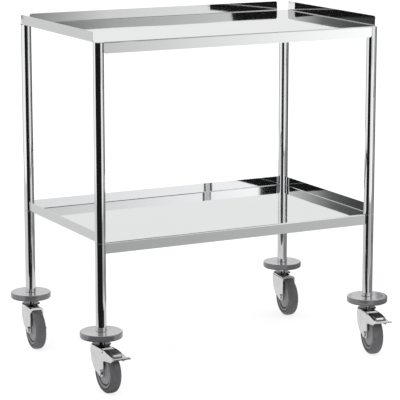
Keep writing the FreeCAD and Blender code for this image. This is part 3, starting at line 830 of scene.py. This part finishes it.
hexSizes = {"flat": 0.96, "reach": 1.02, "degrees": 30.0}  # of the cone that turns the corners down
boltSizes = {
    "radius": 4.0, "across": 13.0, "seat": 17.5, "head": 5.0, "end": 27.5, "chamfer": 0.8, "around": 64,
    "threadStart": 17.0, "pitch": 1.25, "thread": 0.45, "groove": (0.35, 0.5, 0.85),
}
nutSizes = {
    "across": 13.0, "seat": 17.5, "hex": 5.6, "height": 8.0, "collar": 5.7, "collarSink": 0.6, "collarRound": 0.9,
    "clearance": 0.06, "past": 1.0, "crease": 30.0, "around": 96,
}
rivetSizes = {
    "reach": 38.0, "height": 100.0, "shank": 2.5, "inner": 13.1, "seat": 17.5, "head": 4.0, "rise": 1.2,
    "edge": 0.45, "edgeRound": 0.3, "crown": 0.5, "crownRound": 2.5, "around": 48,
}


def hexPiece(name, across, low, high, chamferLow, chamferHigh):
    # a hexagonal prism whose corners are turned down by a cone at the ends
    h = hexSizes
    corner = across / math.sqrt(3)
    clearSelection()
    bpy.ops.mesh.primitive_cylinder_add(
        vertices=6, radius=corner * mm, depth=(high - low) * mm, location=(0.0, 0.0, (low + high) / 2 * mm))
    prism = bpy.context.object
    prism.name = name
    flat, turn = across / 2 * h["flat"], corner * h["reach"]
    fall = (turn - flat) * math.tan(math.radians(h["degrees"]))
    corners = [(0.0, low), (flat, low), (turn, low + fall)] if chamferLow else [(0.0, low), (turn, low)]
    corners += [(turn, high - fall), (flat, high), (0.0, high)] if chamferHigh else [(turn, high), (0.0, high)]
    combine(prism, turnedPiece("guard", corners, closed=False), "INTERSECT")
    return prism


def threadedRod(name, low):
    b = boltSizes
    start, end, radius = b["threadStart"], b["end"], b["radius"]
    floor = radius - b["thread"]
    fall, level, climb = b["groove"]
    corners = [(0.0, low), (radius, low), (radius, start)]
    for turn in range(int((end - start) / b["pitch"])):
        base = start + turn * b["pitch"]
        corners += [
            (floor, base + b["pitch"] * fall), (floor, base + b["pitch"] * level), (radius, base + b["pitch"] * climb),
        ]
    corners += [(radius, end - b["chamfer"]), (radius - b["chamfer"], end), (0.0, end)]
    return turnedPiece(name, corners, b["around"], closed=False)


def buildBolts():
    b = boltSizes
    head = hexPiece("boltHead", b["across"], -b["seat"] - b["head"], -b["seat"], True, False)
    rod = threadedRod("boltRod", -b["seat"] - b["head"] / 2)
    bolt = joined([head, rod], "bolt")
    layAcross(bolt, wheelSizes)
    standAtCorners(bolt, cornerNames, "axleBoltHex", "plating", "swivel", "axle_bolt")


def buildNuts():
    n = nutSizes
    hexTop, top = n["seat"] + n["hex"], n["seat"] + n["height"]
    nut = hexPiece("nut", n["across"], n["seat"], hexTop, True, True)
    collar = turnedPiece("collar", [
        (0.0, hexTop - n["collarSink"]), (n["collar"], hexTop - n["collarSink"]),
        (n["collar"], top, n["collarRound"]), (0.0, top),
    ], n["around"], closed=False)
    combine(nut, collar, "UNION")
    low, high, radius = n["seat"] - n["past"], top + n["past"], boltSizes["radius"] + n["clearance"]
    bore = turnedPiece("bore", [
        (0.0, low), (radius, low), (radius, high), (0.0, high),
    ], boltSizes["around"], closed=False)
    combine(nut, bore, "DIFFERENCE")
    smoothByAngle(nut, n["crease"])
    layAcross(nut, wheelSizes)
    standAtCorners(nut, cornerNames, "axleNutHex", "plating", "swivel", "axle_nut")


def buildRivets():
    r = rivetSizes
    top = r["seat"] + r["rise"]
    rivets = mirroredPair("rivet", [
        (0.0, r["inner"]), (r["shank"], r["inner"]), (r["shank"], r["seat"]), (r["head"], r["seat"]),
        (r["head"], r["seat"] + r["rise"] * r["edge"], r["edgeRound"]),
        (r["head"] * r["crown"], top, r["crownRound"]), (0.0, top),
    ], r["around"])
    layAcross(rivets, r)
    standAtCorners(rivets, brakedCorners, "pedalRivetPair", "plating", "swivel", "pedal_rivets")


# Grip bars on the pedal's foot plate

gripSizes = {
    "first": 101.4, "pitch": 2.0, "bars": 3, "half": 18.0, "width": 0.9, "rise": 0.5, "easing": 0.3, "segments": 3,
    "footBack": 99.5, "footTop": 98.5, "toe": 107.0, "toeTop": 96.5,
}


def buildGrips():
    g = gripSizes
    slope = (g["toeTop"] - g["footTop"]) / (g["toe"] - g["footBack"])
    bars = []
    for step in range(g["bars"]):
        reach = g["first"] + step * g["pitch"]
        clearSelection()
        bpy.ops.mesh.primitive_cube_add(
            size=1.0, location=(reach * mm, 0.0, (g["footTop"] + slope * (reach - g["footBack"])) * mm),
            rotation=(0.0, -math.atan(slope), 0.0), scale=(g["width"] * mm, 2 * g["half"] * mm, 2 * g["rise"] * mm))
        bar = bpy.context.object
        settle(bar)
        softenEdges(bar, g["easing"], g["segments"])
        smoothByAngle(bar)
        bars.append(bar)
    standAtCorners(joined(bars, "grips"), brakedCorners, "pedalGrip", "pressing", "pedal")


for name in ("top_shelf", "lower_shelf"):
    easedCopy(name, "trayPolish", "frame", easing["tray"], leanRims)
for name in ("top_stiffener", "lower_stiffener"):
    easedCopy(name, "trayPolish", "frame", easing["channel"])
buildBeads()
buildSpotWelds()
print("trays modelled")
buildLegs()
buildBumpers()
buildSwivelHeads()
print("legs and swivel heads modelled")
buildWheels()
buildBolts()
buildNuts()
buildRivets()
buildGrips()
for corner in cornerNames:
    easedCopy("fork_" + corner, "plating", "swivel_" + corner, easing["fork"])
for corner in brakedCorners:
    easedCopy("brake_pedal_" + corner, "pressing", "pedal_" + corner, easing["pedal"])
    easedCopy("brake_shoe_" + corner, "shoe", "pedal_" + corner, easing["shoe"])
print("casters modelled")
